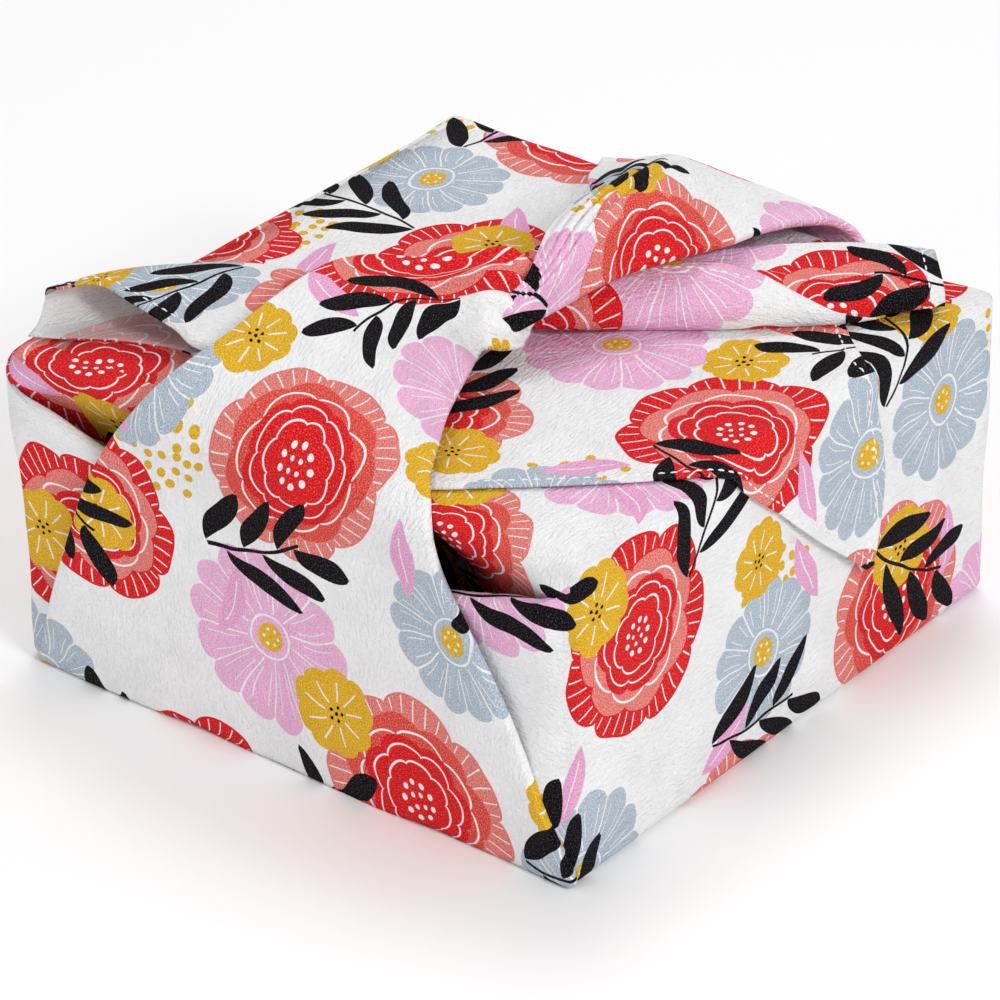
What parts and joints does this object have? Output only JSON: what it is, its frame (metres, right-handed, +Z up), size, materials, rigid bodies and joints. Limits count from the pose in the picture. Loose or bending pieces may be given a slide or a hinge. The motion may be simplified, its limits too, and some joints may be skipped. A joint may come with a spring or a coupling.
{
  "type": "furoshiki wrap",
  "caption": "Hollow square parcel of one folded cotton cloth, tied over the top with a flat knot, with a hemmed corner hanging down one side and open pouches at the top corners.",
  "frame": {"origin": "centre of the underside, on the surface the wrap stands on", "axes": "+Z up; +X towards the smooth face with the hanging corner; -Y towards the tied face whose strap goes under the other one"},
  "size_m": [0.2171, 0.2206, 0.1399],
  "materials": {
    "cotton": "matt printed cotton with a fine crepe"
  },
  "bodies": {
    "root": {"furoshiki_cloth": "cotton"}
  },
  "joints": []
}
